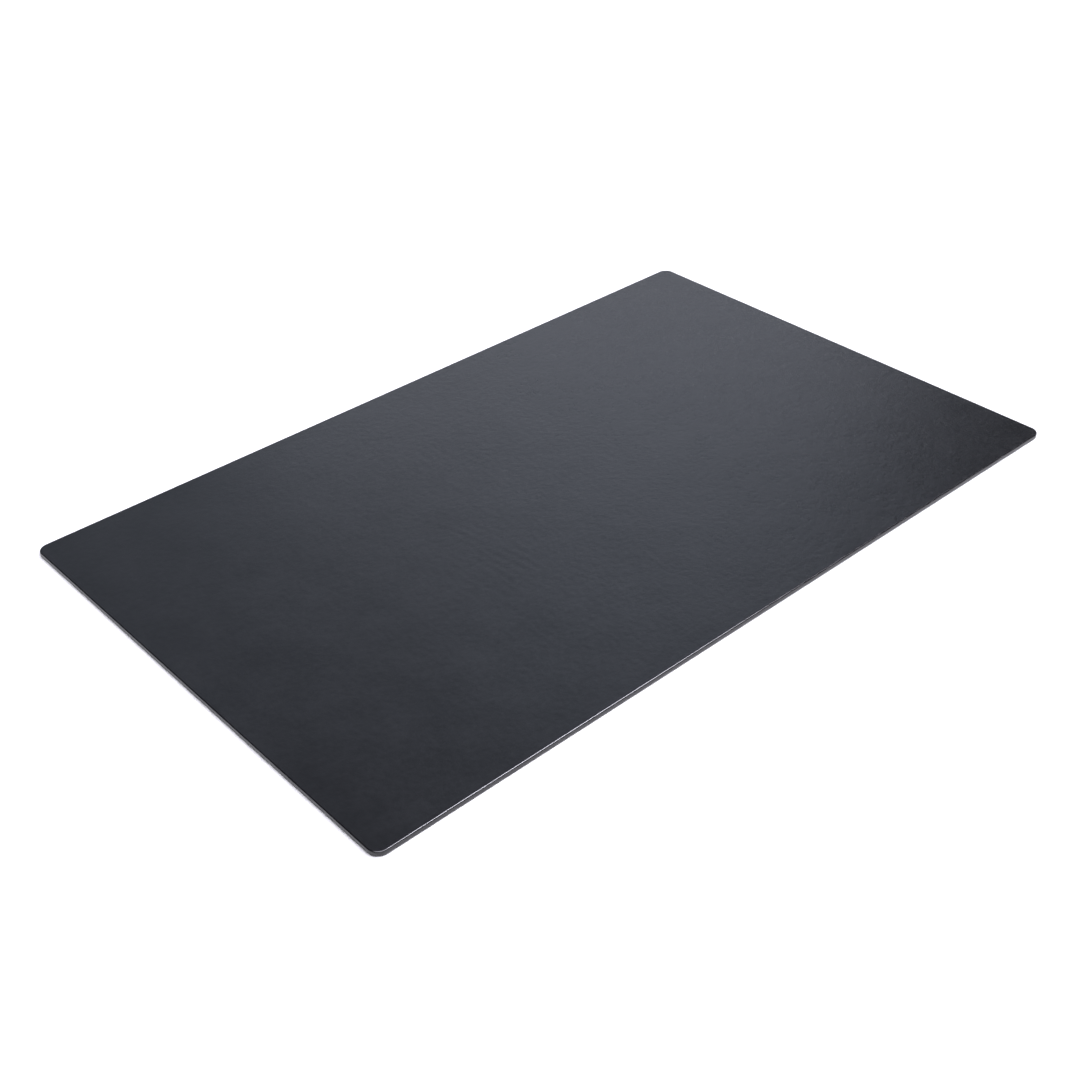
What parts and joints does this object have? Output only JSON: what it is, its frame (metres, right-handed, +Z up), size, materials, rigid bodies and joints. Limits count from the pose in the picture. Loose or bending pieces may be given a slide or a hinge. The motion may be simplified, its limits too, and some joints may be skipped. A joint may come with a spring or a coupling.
{
  "type": "desk mat",
  "caption": "Flat rectangular desk mat with rounded corners: a stiff board wrapped in black leatherette, with a felt underside that rests on a desk.",
  "frame": {"origin": "middle of the underside, on the desk", "axes": "+X along the long side, +Y towards the back long edge, +Z up through the writing surface"},
  "size_m": [0.965, 0.61, 0.0063],
  "materials": {
    "cover": "satin, fine leather grain",
    "interlining": "matte foam",
    "core_board": "raw hardboard",
    "levelling_card": "raw grey card",
    "backing": "matte felt"
  },
  "bodies": {
    "root": {"cover": "cover", "interlining": "interlining", "core_board": "core_board", "levelling_card": "levelling_card", "backing": "backing"}
  },
  "joints": []
}
